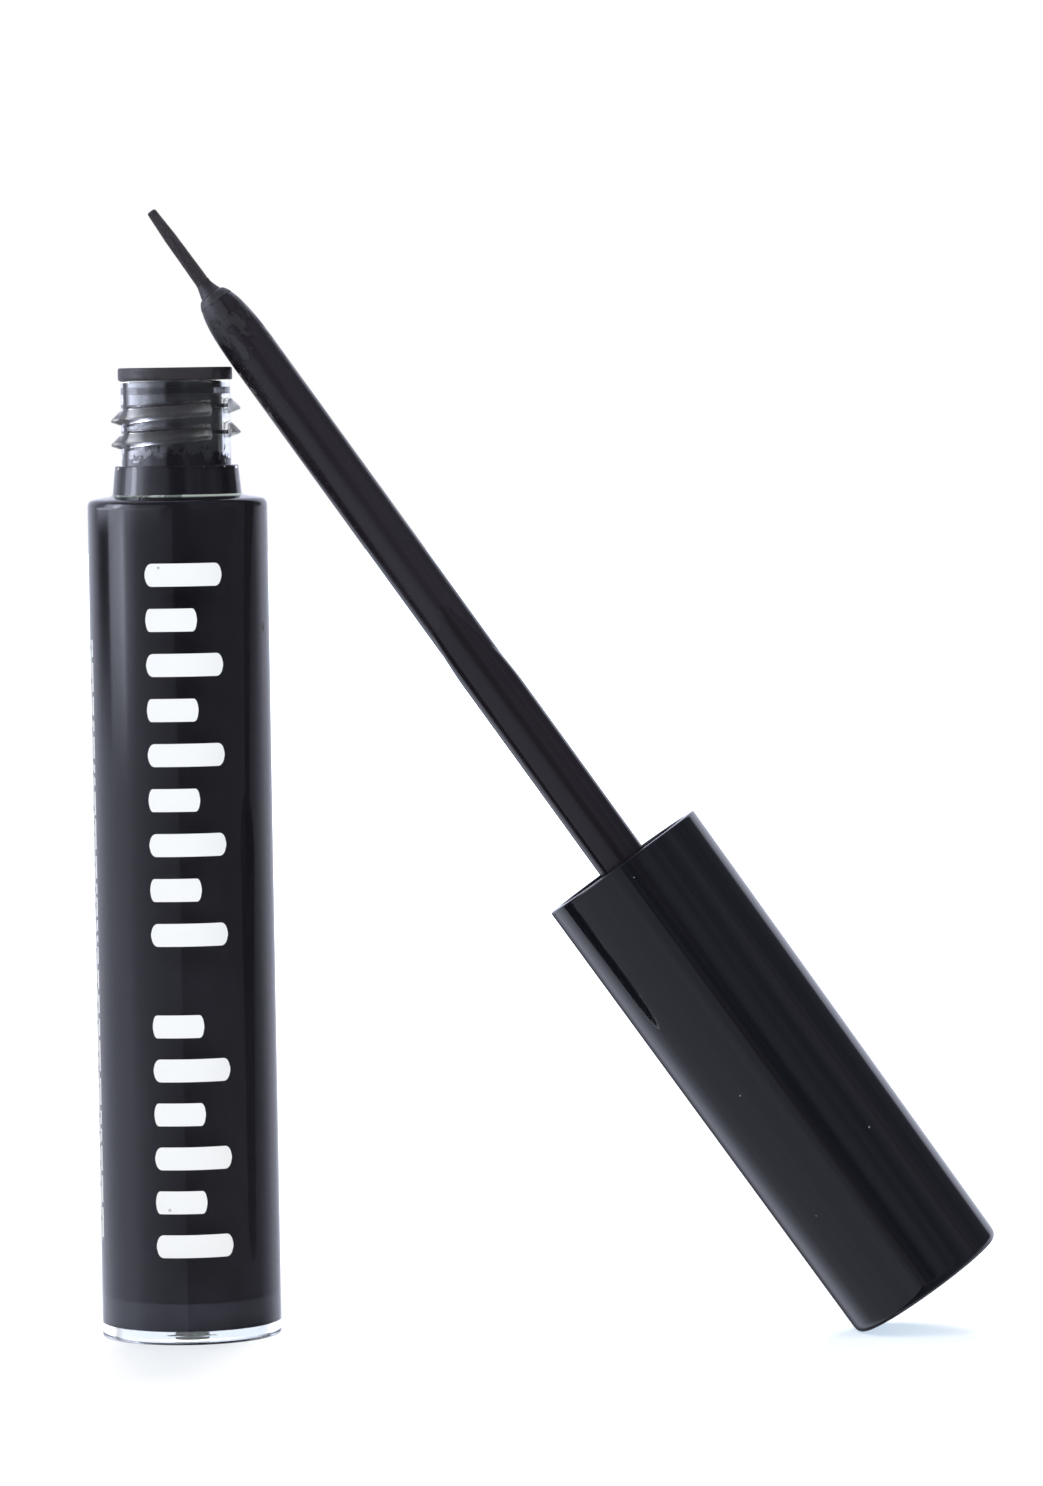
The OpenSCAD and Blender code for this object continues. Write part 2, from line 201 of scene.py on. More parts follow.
# %% A tool that makes a threaded wall as one sheet
def ridge_share(turn):
    """How much of its full height the ridge has, at an angle counted from the thread's start."""
    run = math.floor(turn / 180)
    last = min(THREAD_RUN, THREAD_TURNS * 360 - run * 180)
    if run < 0 or last < 2 * THREAD_FADE:
        return 0
    within = turn - run * 180
    return math.sqrt(max(0, min(1, within / THREAD_FADE, (last - within) / THREAD_FADE)))


def threaded_wall(form, radius, depth, section, thread_z, low_z, high_z, around=AROUND):
    """Section is a list of (along, share of depth) that covers one pitch."""
    turns = math.ceil((high_z - low_z) / PITCH) + 2
    rows = []
    for k in range(-turns, turns + 1):
        for along, share in section:
            row = []
            for i in range(around + 1):
                angle = 360 * i / around
                turn = angle - THREAD_START + 360 * k
                z = thread_z + PITCH * turn / 360 + along
                out = radius + depth * share * ridge_share(turn)
                z = min(max(z, low_z), high_z)
                t = math.radians(angle)
                row.append((out * MM * math.cos(t), out * MM * math.sin(t), z * MM))
            rows.append(row)
    inside = [r for r in rows if max(p[2] for p in r) > low_z * MM and min(p[2] for p in r) < high_z * MM]
    first, last = rows.index(inside[0]), rows.index(inside[-1])
    rows = [[form.verts.new(p) for p in r] for r in rows[max(first - 1, 0):last + 2]]
    for low, high in zip(rows, rows[1:]):
        for i in range(around):
            form.faces.new((low[i], low[i + 1], high[i + 1], high[i]))


outer_section = softened(
    [(-0.62, 0, 0), (-0.3, 0, 0.1), (-0.02, 1, 0.08), (0.12, 1, 0.08), (0.95, 0, 0.3), (1.22, 0, 0)], 4
)
print("rows in one turn of thread:", len(outer_section))

# %% [markdown]
# The bottle is one moulding of clear plastic with a wall of more than two millimetres. Its outline
# runs from the foot up the barrel, over the collar, up the threaded neck, down the bore and round the
# chamber.

# %% The clear bottle
def clear_bottle():
    outline = softened(
        [
            (LEDGE_R, FLOOR_Z, 0.04), (LEDGE_R, 0, 0.08), (BOTTLE_R, 0, FOOT_ROUND),
            (BOTTLE_R, SHOULDER_Z, SHOULDER_ROUND), (COLLAR_LOW_R, COLLAR_Z, 0.14),
            (COLLAR_TOP_R, NECK_Z, 0.13), (NECK_R, NECK_Z, 0), (NECK_R, RIM_Z, 0), (BORE_R, RIM_Z, 0.1),
            (BORE_R, ROOF_Z + FLARE_H, 0.5), (BORE_R + FLARE_W, ROOF_Z, 0.1), (CHAMBER_R, ROOF_Z, 0.3),
            (CHAMBER_R, FLOOR_Z, 0.06),
        ], 6
    )
    neck_foot = outline.index(Vector((NECK_R, NECK_Z)))
    form = bmesh.new()
    low = [ring(form, *p) for p in held(outline[:neck_foot + 1], closed=False)]
    high = [ring(form, *p) for p in held(outline[neck_foot + 1:] + outline[:1], closed=False)]
    for rings in (low, high[:-1] + low[:1]):
        for a, b in zip(rings, rings[1:]):
            skin(form, a, b)
    threaded_wall(form, NECK_R, THREAD_DEPTH, outer_section, THREAD_Z, NECK_Z, RIM_Z)
    return finished("clear_bottle", form)


bottle = clear_bottle()

# %% [markdown]
# The chamber is open at the foot when it leaves the mould. A clear plug closes it: a disc with a
# short spigot that goes up into the barrel. A little ink has crept up round the spigot, and that thin
# film shows as the grey band above the foot. Where the plug was cut off its mould a round gate mark
# is left, with a stain in the plastic above it that is seen through the wall.

# %% The base plug, the stain over its gate, and the ink that crept round its spigot
SCAR_R, SCAR_LOW_Z, SCAR_TOP_Z = 0.96, 0.135, 0.4
base_plug = turned(
    "clear_base_plug",
    softened(
        [
            (0, RECESS - GATE_TALL, 0), (GATE_R, RECESS - GATE_TALL, 0.03), (GATE_R, RECESS, 0.02),
            (LEDGE_R - HAIR, RECESS, 0.08), (LEDGE_R - HAIR, FLOOR_Z - HAIR, 0.04),
            (CHAMBER_R - HAIR, FLOOR_Z - HAIR, 0.03),
            (CHAMBER_R - HAIR, SPIGOT_Z, 0.12), (CHAMBER_R - SPIGOT_WALL, SPIGOT_Z, 0.12),
            (CHAMBER_R - SPIGOT_WALL, FLOOR_Z - HAIR, 0.1), (0, FLOOR_Z - HAIR, 0),
        ]
    ),
)
gate_scar = turned(
    "gate_scar",
    softened(
        [
            (0, SCAR_LOW_Z, 0), (SCAR_R, SCAR_LOW_Z, 0.02),
            (SCAR_R - 0.04, SCAR_TOP_Z, 0.08), (0, SCAR_TOP_Z - 0.04, 0),
        ]
    ),
    around=64,
)
joint_film = turned(
    "ink_in_joint",
    [
        (CHAMBER_R - HAIR, FLOOR_Z), (CHAMBER_R + HAIR, FLOOR_Z),
        (CHAMBER_R + HAIR, SPIGOT_Z + 0.1), (CHAMBER_R - HAIR, SPIGOT_Z + 0.1),
    ],
)

# %% [markdown]
# The ink wets the wall, so no air lies between them. With air there, the wall would mirror like the
# side of an empty glass. The ink is therefore made a hair wider than the chamber: a ray that has
# entered the plastic meets ink, and never air. Above the surface a film clings to the wall up to the
# roof.

# %% The ink
WET_R = CHAMBER_R + HAIR
WELL_R = CHAMBER_R - SPIGOT_WALL + HAIR
WIPER_LOW = RIM_Z - PLUG_LEN
NECK_FILM = 0.15
ink = turned(
    "ink_in_bottle",
    softened(
        [
            (0, FLOOR_Z - 1.5 * HAIR, 0), (WELL_R, FLOOR_Z - 1.5 * HAIR, 0.08),
            (WELL_R, SPIGOT_Z + HAIR, 0.1), (WET_R, SPIGOT_Z + HAIR, 0), (WET_R, ROOF_Z + HAIR, 0.2),
            (BORE_R + FLARE_W, ROOF_Z + HAIR, 0),
            (BORE_R + HAIR, ROOF_Z + FLARE_H, 0), (BORE_R + HAIR, WIPER_LOW - HAIR, 0),
            (BORE_R - NECK_FILM, WIPER_LOW - HAIR, 0), (BORE_R - NECK_FILM, ROOF_Z + FLARE_H, 0),
            (BORE_R + FLARE_W - NECK_FILM, ROOF_Z - INK_FILM, 0),
            (WET_R - INK_FILM, ROOF_Z - INK_FILM, 0.2), (WET_R - INK_FILM, INK_Z, 0.5), (0, INK_Z, 0),
        ]
    ),
)

# %% [markdown]
# The wiper is a soft plug that is pressed into the neck. Its flange lies on the rim, three ribs hold
# it in the bore, and its lip strips the stem. The ribs press so hard on the neck that no air is left
# between them, so they show as black rings. Between the rings a thin layer of air mirrors the light.

# %% The wiper
PRESSED_R = BORE_R + HAIR
RIB_TOPS_AND_HEIGHTS = ((75.79, 0.35), (77.99, 0.35), (79.39, 0.62))


def wiper_outline():
    points = [(LIP_R, WIPER_LOW, 0.08), (PLUG_R - 0.32, WIPER_LOW, 0.15), (PLUG_R, WIPER_LOW + 0.65, 0.1)]
    for top, tall in RIB_TOPS_AND_HEIGHTS:
        points += [
            (PLUG_R, top - tall, 0.02), (PRESSED_R, top - tall * 0.9, 0.04),
            (PRESSED_R, top, 0.03), (PLUG_R, top, 0.02),
        ]
    points += [
        (PLUG_R, RIM_Z, 0.05), (FLANGE_R, RIM_Z, FLANGE_ROUND), (FLANGE_R, FLANGE_Z, FLANGE_ROUND),
        (PLUG_BORE_R + FUNNEL_OPEN, FLANGE_Z, 0.15), (PLUG_BORE_R, FLANGE_Z - FUNNEL_DEPTH, 0.4),
        (PLUG_BORE_R, WIPER_LOW + LIP_LEN + 1, 0.3), (LIP_R, WIPER_LOW + LIP_LEN, 0.2),
    ]
    return softened(points)


wiper = turned("neck_wiper", wiper_outline())

# %% [markdown]
# Ink also crept up between the wiper and the neck. A thin sheet stands for it, and its finish cuts
# away the places that stayed clear. At the foot of the collar sits a tiny ring, a piece of its own.
# Its pale finish is a painted highlight: the bright line of light where the collar meets the shoulder.

# %% The ink that crept up between the wiper and the neck
crept_ink = turned(
    "ink_beside_wiper",
    [
        (BORE_R - 0.1, WIPER_LOW - 0.1), (PRESSED_R, WIPER_LOW - 0.1),
        (PRESSED_R, RIM_Z - 0.15), (BORE_R - 0.03, RIM_Z - 0.15),
    ],
)

# %% The painted highlight at the foot of the collar
FILLET_W, FILLET_H = 0.15, 0.11
# This ring only carries the painted highlight at the foot of the collar.
collar_highlight = turned(
    "collar_painted_highlight",
    softened(
        [
            (COLLAR_LOW_R - 0.02, COLLAR_Z - 0.02, 0), (COLLAR_LOW_R + FILLET_W, COLLAR_Z - 0.03, 0),
            (COLLAR_LOW_R + 0.04, COLLAR_Z + 0.04, 0.1), (COLLAR_LOW_R - 0.01, COLLAR_Z + FILLET_H, 0),
        ]
    ),
)

# %% [markdown]
# The cap is a glossy shell over a threaded inner cap. The shell is a straight tube that narrows a
# little towards its closed end. The inner cap can be seen only by looking into the mouth, and it
# carries the thread that fits the neck, so the same wall tool makes it with a negative depth.

# %% The cap's shell
STOP_W = 0.5
cap_shell = turned(
    "cap_outer_shell",
    softened(
        [
            (SHELL_BORE_R, 0, MOUTH_ROUND), (CAP_R, 0, MOUTH_ROUND), (CAP_END_R, CAP_LEN, END_ROUND),
            (0, CAP_LEN, 0), (0, CAP_LEN - END_WALL, 0), (SHELL_BORE_R - STOP_W, CAP_LEN - END_WALL, 0.4),
            (SHELL_BORE_R - STOP_W, SKIRT_TOP + HAIR, 0.05), (SHELL_BORE_R, SKIRT_TOP + HAIR, 0.05),
        ], 8
    ),
    leaning,
)

# %% The threaded inner cap
inner_section = softened(
    [(-1.85, 0, 0), (-1.45, 0, 0.1), (-0.7, 1, 0.08), (-0.4, 1, 0.05), (-0.3, 0, 0.04), (0.05, 0, 0)], 3
)


def inner_cap():
    thread_low = RIM_RECESS + RIM_BEVEL
    outline = softened(
        [
            (INNER_BORE_R + RIM_BEVEL, RIM_RECESS, 0.1), (INNER_R, RIM_RECESS, 0.05),
            (INNER_R, SKIRT_TOP, 0.05), (INNER_BORE_R, SKIRT_TOP, 0.05), (INNER_BORE_R, PLATE_TOP, 0.2),
            (SOCKET_R, PLATE_TOP, 0.2), (SOCKET_R, SHANK_TOP + SOCKET_ROOF, 0.3),
            (0, SHANK_TOP + SOCKET_ROOF, 0), (0, SHANK_TOP + HAIR, 0),
            (STEM_R + HAIR, SHANK_TOP + HAIR, 0.05), (STEM_R + HAIR, PLATE_AT, 0.1),
            (INNER_BORE_R, PLATE_AT, 0), (INNER_BORE_R, thread_low, 0),
        ]
    )
    form = bmesh.new()
    rings = [ring(form, *p) for p in held(outline[:-1], closed=False)]
    for low, high in zip(rings, rings[1:]):
        skin(form, low, high)
    skin(form, ring(form, *outline[-1]), rings[0])
    thread_at = THREAD_Z - COLLAR_Z - MOUTH_GAP
    depth = INNER_MINOR_R - INNER_BORE_R
    threaded_wall(form, INNER_BORE_R, depth, inner_section, thread_at, thread_low, PLATE_AT)
    return finished("cap_inner_thread", form, leaning)


inner = inner_cap()

# %% [markdown]
# The stem is a moulded rod with a bullet nose that grips the nib. The nose is full at the stem and
# closes quickly at its end, which a power curve follows well.

# %% The stem
NOSE_POWER, NOSE_ROOT = 3.3, 0.63


def nose_radius(t):
    """Radius of the nose at a share t of its length, counted from the nib."""
    return NOSE_R + (STEM_R - NOSE_R) * (1 - (1 - t) ** NOSE_POWER) ** NOSE_ROOT


def stem_outline():
    socket = NIB_R + 0.04
    flex = NOSE_END + FLEX_DEPTH
    quarter = [math.pi / 24 * i for i in range(13)]
    ball = [(socket * math.sin(a), flex + socket * math.cos(a)) for a in quarter]
    shares = [(i / 32) ** 2 for i in range(33)]
    nose = [(nose_radius(share), NOSE_END + NOSE_LEN * share) for share in shares]
    lip = [(0.815, NOSE_END), (NOSE_R - 0.05, NOSE_END - 0.004), (NOSE_R - 0.015, NOSE_END)]
    end = softened([(STEM_R, SHANK_TOP, 0.4), (0, SHANK_TOP, 0), (0, 0, 0)])[:-1]
    return ball + lip + nose[1:] + end


stem = turned("applicator_stem", stem_outline(), leaning, around=160)

# %% [markdown]
# The last ink runs down to the cap when the applicator is stood up. There it lies on the stem as a
# thick wet coat with an uneven edge, which is why the stem looks a little wider close to the cap.

# %% The wet ink close to the cap
COAT = 0.13
COAT_FROM, COAT_TO, COAT_EDGE = -26, 2, -22


def wet_coat():
    form = bmesh.new()
    rings = []
    for step in range(61):
        along = COAT_FROM + (COAT_TO - COAT_FROM) * step / 60
        circle = []
        for i in range(120):
            a = math.tau * i / 120
            reach = 3.2 * math.cos(a - 2.2) + 1.6 * math.cos(2 * a + 0.7) + 0.7 * math.cos(5 * a)
            depth = max(0, min(1, (along - COAT_EDGE - reach) / 2.2))
            out = STEM_R - 0.03 + COAT * depth ** 0.6
            circle.append(form.verts.new((out * MM * math.cos(a), out * MM * math.sin(a), along * MM)))
        rings.append(circle)
    low, high = ring(form, STEM_R - 0.08, COAT_FROM, 120), ring(form, STEM_R - 0.08, COAT_TO, 120)
    for a, b in zip([low] + rings + [high], rings + [high, low]):
        skin(form, a, b)
    return finished("wet_ink_on_stem", form, leaning)


coat = wet_coat()

# %% [markdown]
# The nib is felted fibre, ground to a blunt taper. A turned form alone looks machined, so its points
# are pushed in and out a little by smooth noise, which is drawn out along the nib, as fibres lie.

# %% The nib
from mathutils import noise


def felted(piece, depth, along, across):
    """Push the vertices of a round piece in and out along its radius."""
    for vertex in piece.data.vertices:
        x, y, z = vertex.co
        out = math.hypot(x, y)
        if out < 0.05 * MM:
            continue
        seed = Vector((x / out * across, y / out * across, z / MM * along))
        push = noise.fractal(seed, 0.9, 2.1, 4) * depth * MM
        vertex.co.x += x / out * push
        vertex.co.y += y / out * push
    return piece


def nib_outline():
    knee, foot = Vector((NIB_MID_R, NIB_TAPER - REACH)), Vector((NIB_R, NOSE_END))
    tip = softened([(0, -REACH, 0), (NIB_TIP_R, -REACH, 0.2), (*knee, 1.2), (*foot, 0)])[1:-1]
    shaft = [tip[-1].lerp(foot, i / 50) for i in range(1, 51)]
    flex = NOSE_END + FLEX_DEPTH
    root = [(NIB_R * math.cos(a), flex + NIB_R * math.sin(a)) for a in [math.pi / 16 * i for i in range(8)]]
    return [Vector((0, -REACH))] + tip + shaft + root + [(0, flex + NIB_R)]


nib = felted(turned("felted_nib", nib_outline(), leaning, around=72), depth=0.014, along=0.5, across=1.9)

# %% [markdown]
# Ink is drawn into the corner between nose and nib and dries there as a smooth web. It joins two
# pieces that bend against each other, but it is fixed in the place where it is made. One side holds
# more ink, since the applicator was laid down wet.

# %% The web of ink round the nib's root
WEB_TOP, WEB_LEN, WEB_REACH, HEAVY_SIDE = 0.75, 2.0, 1.0, math.radians(8)


def ink_web():
    form = bmesh.new()
    rings = []
    for step in range(25):
        along = NOSE_END + WEB_TOP - WEB_LEN * step / 24
        circle = []
        for i in range(96):
            a = math.tau * i / 96
            heavy = 0.5 + 0.5 * math.cos(a - HEAVY_SIDE)
            nose = nose_radius(max(0, (along - NOSE_END) / NOSE_LEN)) + 0.03
            left = max(0, 1 - (NOSE_END - along) / (WEB_REACH + 0.12 * heavy))
            share = left ** (1.25 - 0.2 * heavy)
            out = nose if along > NOSE_END else NIB_R + 0.012 + (NOSE_R * 0.98 - NIB_R) * share
            circle.append(form.verts.new((out * MM * math.cos(a), out * MM * math.sin(a), along * MM)))
        rings.append(circle)
    for low, high in zip(rings, rings[1:]):
        skin(form, low, high)
    inner_low = ring(form, NIB_R - 0.05, NOSE_END + 0.7, 96)
    inner_high = ring(form, NIB_R - 0.08, NOSE_END - 1.2, 96)
    skin(form, inner_low, rings[0])
    skin(form, rings[-1], inner_high)
    skin(form, inner_high, inner_low)
    return finished("ink_web", form, leaning)


web = ink_web()

# %% [markdown]
# The barrel carries a white screen print. Here it is a plain scale of long and short bars, and a
# block of fine dashes on the side. Each mark is a thin sheet of paint that follows the curve of the
# barrel, so it has a real edge and a real place.

# %% A tool that lays a painted mark on the barrel
PAINT, BAR_END = 0.012, 0.09


def painted(form, middle, half_width, z_of_edge, columns=36):
    """One mark: across the barrel from middle - half_width to middle + half_width, in degrees from
    the front. z_of_edge gives its lower and upper edge at each share of its width."""
    layers = []
    for radius in (BOTTLE_R + 0.001, BOTTLE_R + PAINT):
        low, high = [], []
        for i in range(columns + 1):
            share = i / columns
            a = math.radians(middle + half_width * (2 * share - 1) - 90)
            for row, z in zip((low, high), z_of_edge(share)):
                row.append(form.verts.new((radius * MM * math.cos(a), radius * MM * math.sin(a), z * MM)))
        layers.append(low + high[::-1])
    for i in range(columns):
        for layer in layers:
            form.faces.new((layer[i], layer[i + 1], layer[-2 - i], layer[-1 - i]))
    under, over = layers
    for i in range(len(under)):
        j = (i + 1) % len(under)
        form.faces.new((under[i], under[j], over[j], over[i]))


def bar(low, high):
    """The edges of a plain bar with rounded ends."""
    middle, half = (low + high) / 2, (high - low) / 2

    def edges(share):
        end = min(share, 1 - share) / BAR_END
        rise = half * math.sqrt(max(0.02, 1 - (1 - min(1, end)) ** 2))
        return middle - rise, middle + rise
    return edges


# %% The painted scale
BAR_THICK, LONG_BAR, SHORT_BAR, FIRST_DEGREE = 1.9, 50.0, 33.0, -19.1
GROUPS = ((7.3, 27.5, 6), (33.2, 64.9, 9))


def painted_scale():
    form = bmesh.new()
    for low, high, count in GROUPS:
        for i in range(count):
            z = low + (high - low - BAR_THICK) * i / (count - 1)
            width = (LONG_BAR, SHORT_BAR)[i % 2]
            painted(form, FIRST_DEGREE + width / 2, width / 2, bar(z, z + BAR_THICK), 60)
    return finished("painted_scale", form)


scale = painted_scale()

# %% The fine dashes
DASH_LINES, FIRST_LINE, LINE_STEP, DASH_LOW, DASH_HIGH = 14, -73.5, 4.4, 9.0, 58.5


def fine_dashes():
    form = bmesh.new()
    dice = random.Random(11)
    for line in range(DASH_LINES):
        middle = FIRST_LINE - LINE_STEP * line
        z = DASH_HIGH
        while z > DASH_LOW:
            length = dice.uniform(0.5, 2.6)
            painted(form, middle, 1.5, lambda share, z=z, length=length: (z - length, z), 2)
            z -= length + dice.uniform(0.3, 0.55)
    return finished("fine_dashes", form)


dashes = fine_dashes()

# %% [markdown]
# ## Finishes
# The finishes share three effects, and each is a node group, so that it is built once and then placed
# with its own values. A group gives out only masks and heights. The shader stays in the material.

# %% Small helpers for node trees
def feed(tree, target, value):
    """Link a socket to an input, or set the input to a value."""
    if isinstance(value, bpy.types.NodeSocket):
        tree.links.new(value, target)
    else:
        target.default_value = value


def put(tree, kind, **inputs):
    """Add a node. An input is given by its name, or by its number after an underscore."""
    node = tree.nodes.new(kind)
    for key, value in inputs.items():
        target = node.inputs[int(key[1:])] if key[0] == "_" else node.inputs[key.replace("_", " ")]
        feed(tree, target, value)
    return node


def sums(tree, operation, a, b=0.0, c=0.0, clamp=False):
    """One step of arithmetic, given back as a socket."""
    node = put(tree, "ShaderNodeMath", _0=a, _1=b, _2=c)
    node.operation = operation
    node.use_clamp = clamp
    return node.outputs[0]


def spread(tree, value, low, high, to_low=0.0, to_high=1.0):
    """Spread a value from one range to another, with soft ends."""
    node = put(
        tree, "ShaderNodeMapRange",
        Value=value, From_Min=low, From_Max=high, To_Min=to_low, To_Max=to_high,
    )
    node.interpolation_type = "SMOOTHSTEP"
    return node.outputs[0]


def along_axes(tree, place):
    """The three coordinates of a place."""
    return put(tree, "ShaderNodeSeparateXYZ", Vector=place).outputs


def effect(name, inputs, outputs):
    """A new node group with named inputs and outputs."""
    group = bpy.data.node_groups.new(name, "ShaderNodeTree")
    for label, value in inputs:
        kind = "NodeSocketVector" if isinstance(value, tuple) else "NodeSocketFloat"
        group.interface.new_socket(label, in_out="INPUT", socket_type=kind).default_value = value
    for label in outputs:
        group.interface.new_socket(label, in_out="OUTPUT", socket_type="NodeSocketFloat")
    return group, group.nodes.new("NodeGroupInput").outputs, group.nodes.new("NodeGroupOutput").inputs


def use(tree, group, **values):
    """Place a group in a material."""
    node = tree.nodes.new("ShaderNodeGroup")
    node.node_tree = group
    for key, value in values.items():
        feed(tree, node.inputs[key.replace("_", " ")], value)
    return node.outputs


print("helpers ready")

# %% Effect: stretched grain, for moulded and brushed surfaces
ORIGIN, UNSTRETCHED = (0.0, 0.0, 0.0), (1.0, 1.0, 1.0)


def stretched(tree, given):
    """The place of a point, pulled along the axes by the group's stretch."""
    scaled = put(tree, "ShaderNodeVectorMath", _0=given["Place"], _1=given["Stretch"])
    scaled.operation = "MULTIPLY"
    return scaled.outputs[0]


grain, given, out = effect(
    "stretched_grain", [("Place", ORIGIN), ("Stretch", UNSTRETCHED), ("Scale", 900.0)], ["Height"]
)
fine = put(
    grain, "ShaderNodeTexNoise",
    Vector=stretched(grain, given), Scale=given["Scale"], Detail=5.0, Roughness=0.55,
)
grain.links.new(fine.outputs[0], out["Height"])

# %% Effect: dust, as rare small specks of uneven size
dust, given, out = effect("dust_specks", [("Place", ORIGIN), ("Scale", 700.0), ("Amount", 0.06)], ["Mask"])
cells = put(dust, "ShaderNodeTexVoronoi", Vector=given["Place"], Scale=given["Scale"], Randomness=1.0)
chance = put(dust, "ShaderNodeSeparateColor", Color=cells.outputs["Color"])
picked = sums(dust, "LESS_THAN", chance.outputs[0], given["Amount"])
size = sums(dust, "MULTIPLY", chance.outputs[1], 0.22)
near = sums(dust, "LESS_THAN", cells.outputs["Distance"], size)
dust.links.new(sums(dust, "MULTIPLY", picked, near), out["Mask"])

# %% Effect: smears, where ink dried in patches with a dark rim
smears, given, out = effect(
    "ink_smears",
    [("Place", ORIGIN), ("Stretch", UNSTRETCHED), ("Scale", 260.0), ("Cover", 0.5)],
    ["Mask", "Rim"],
)
cloud = put(
    smears, "ShaderNodeTexNoise",
    Vector=stretched(smears, given), Scale=given["Scale"], Detail=6.0, Roughness=0.6, Distortion=0.7,
)
level = sums(smears, "SUBTRACT", cloud.outputs[0], sums(smears, "SUBTRACT", 1.0, given["Cover"]))
mask = spread(smears, level, -0.012, 0.012)
rim = sums(smears, "MULTIPLY", spread(smears, level, -0.03, 0.0), spread(smears, level, 0.0, 0.035, 1.0, 0.0))
smears.links.new(mask, out["Mask"])
smears.links.new(rim, out["Rim"])
print("effects:", [g.name for g in bpy.data.node_groups])

# %% [markdown]
# Every finish starts from the Principled shader. The first helper below returns the material, its
# tree, the shader and the place of a point on the piece. The applicator's pieces are built along
# their own axis, so the third coordinate always runs along the piece.

# %% A tool that starts a material
def finish(name, colour, roughness, **settings):
    material = bpy.data.materials.new(name)
    material.use_nodes = True
    tree = material.node_tree
    shader = tree.nodes["Principled BSDF"]
    shader.inputs["Base Color"].default_value = (*colour, 1)
    shader.inputs["Roughness"].default_value = roughness
    for key, value in settings.items():
        shader.inputs[key.replace("_", " ")].default_value = value
    place = tree.nodes.new("ShaderNodeTexCoord").outputs["Object"]
    return material, tree, shader, place


def mix_colours(tree, mask, first, second):
    """Base colours mixed by a mask."""
    node = tree.nodes.new("ShaderNodeMix")
    node.data_type = "RGBA"
    for index, value in ((0, mask), (6, first), (7, second)):
        feed(tree, node.inputs[index], (*value, 1) if isinstance(value, tuple) else value)
    return node.outputs[2]


def clouded(tree, shader, height, low, high, dark, light):
    """A base colour that drifts between two tones, as a height goes from low to high."""
    tone = mix_colours(tree, spread(tree, height, low, high), dark, light)
    tree.links.new(tone, shader.inputs["Base Color"])


def relief(tree, shader, height, distance, strength=1.0):
    """Feed a height to the shader's normal."""
    bump = put(tree, "ShaderNodeBump", Height=height, Distance=distance, Strength=strength)
    tree.links.new(bump.outputs[0], shader.inputs["Normal"])


def wear(material, *pieces):
    for piece in pieces:
        piece.data.materials.clear()
        piece.data.materials.append(material)


# %% [markdown]
# Clear plastic bends light, so most of it needs only the right index of refraction. What makes it
# look moulded is a very faint unevenness and a few specks of dust. The ridges of the thread are
# rubbed by the cap, so they are a little frosted. Cycles would give clear plastic a shadow as dark as
# wood, so shadow rays go straight through.

# %% Finish: clear moulded plastic
clear, tree, shader, place = finish(
    "clear_moulded_plastic", (0.96, 0.98, 0.985), 0.02, IOR=1.52, Transmission_Weight=1.0
)
specks = use(tree, dust, Place=place, Scale=420.0, Amount=0.03)["Mask"]
flow = use(tree, grain, Place=place, Stretch=(1.0, 1.0, 0.35), Scale=260.0)["Height"]
across, deep, up = along_axes(tree, place)
from_axis = sums(tree, "SQRT", sums(tree, "MULTIPLY_ADD", across, across, sums(tree, "MULTIPLY", deep, deep)))
beyond_neck = spread(tree, from_axis, (NECK_R + 0.02) * MM, (NECK_R + 0.18) * MM)
on_ridge = sums(tree, "MULTIPLY", beyond_neck, spread(tree, up, NECK_Z * MM, (NECK_Z + 0.4) * MM))
frost = sums(tree, "MULTIPLY_ADD", on_ridge, 0.38, spread(tree, specks, 0.0, 1.0, 0.02, 0.5))
tree.links.new(frost, shader.inputs["Roughness"])
relief(tree, shader, flow, 0.00001, 0.03)
path = tree.nodes.new("ShaderNodeLightPath")
see_through = put(tree, "ShaderNodeBsdfTransparent", Color=(0.9, 0.92, 0.94, 1))
either = put(
    tree, "ShaderNodeMixShader",
    _0=path.outputs["Is Shadow Ray"], _1=shader.outputs[0], _2=see_through.outputs[0],
)
tree.links.new(either.outputs[0], tree.nodes["Material Output"].inputs[0])
wear(clear, bottle, base_plug)

# %% [markdown]
# Ink behind plastic has no gloss of its own, because the plastic wets it: only its colour is left.
# The film in the joint is thin, so it reads as a dark grey. The stain over the gate is a patchy dark
# green.

# %% Finish: ink behind the wall
ink_black, tree, shader, place = finish(
    "ink_behind_wall", (0.0145, 0.0135, 0.0175), 0.5, Specular_IOR_Level=0.0
)
cloudy = use(tree, grain, Place=place, Stretch=(1.0, 1.0, 0.15), Scale=240.0)["Height"]
clouded(tree, shader, cloudy, 0.35, 0.7, (0.0125, 0.0118, 0.0155), (0.017, 0.016, 0.0205))
wear(ink_black, ink)

# %% Finish: the film in the joint, and the stain over the gate
film_grey, tree, shader, place = finish(
    "ink_film_in_joint", (0.031, 0.031, 0.039), 0.6, Specular_IOR_Level=0.0
)
cloudy = use(tree, grain, Place=place, Stretch=(1.0, 1.0, 0.4), Scale=500.0)["Height"]
clouded(tree, shader, cloudy, 0.3, 0.7, (0.028, 0.028, 0.0355), (0.035, 0.035, 0.043))
wear(film_grey, joint_film)

scarred, tree, shader, place = finish("stained_gate", (0.02, 0.045, 0.03), 0.6, Specular_IOR_Level=0.0)
cloudy = use(tree, grain, Place=place, Scale=1500.0)["Height"]
clouded(tree, shader, cloudy, 0.45, 0.66, (0.006, 0.009, 0.012), (0.02, 0.09, 0.04))
wear(scarred, gate_scar)

# %% [markdown]
# Beside the wiper the ink dried in patches, and on the left a run of it went up the bore. Where there
# is none, the sheet is cut away by its alpha.

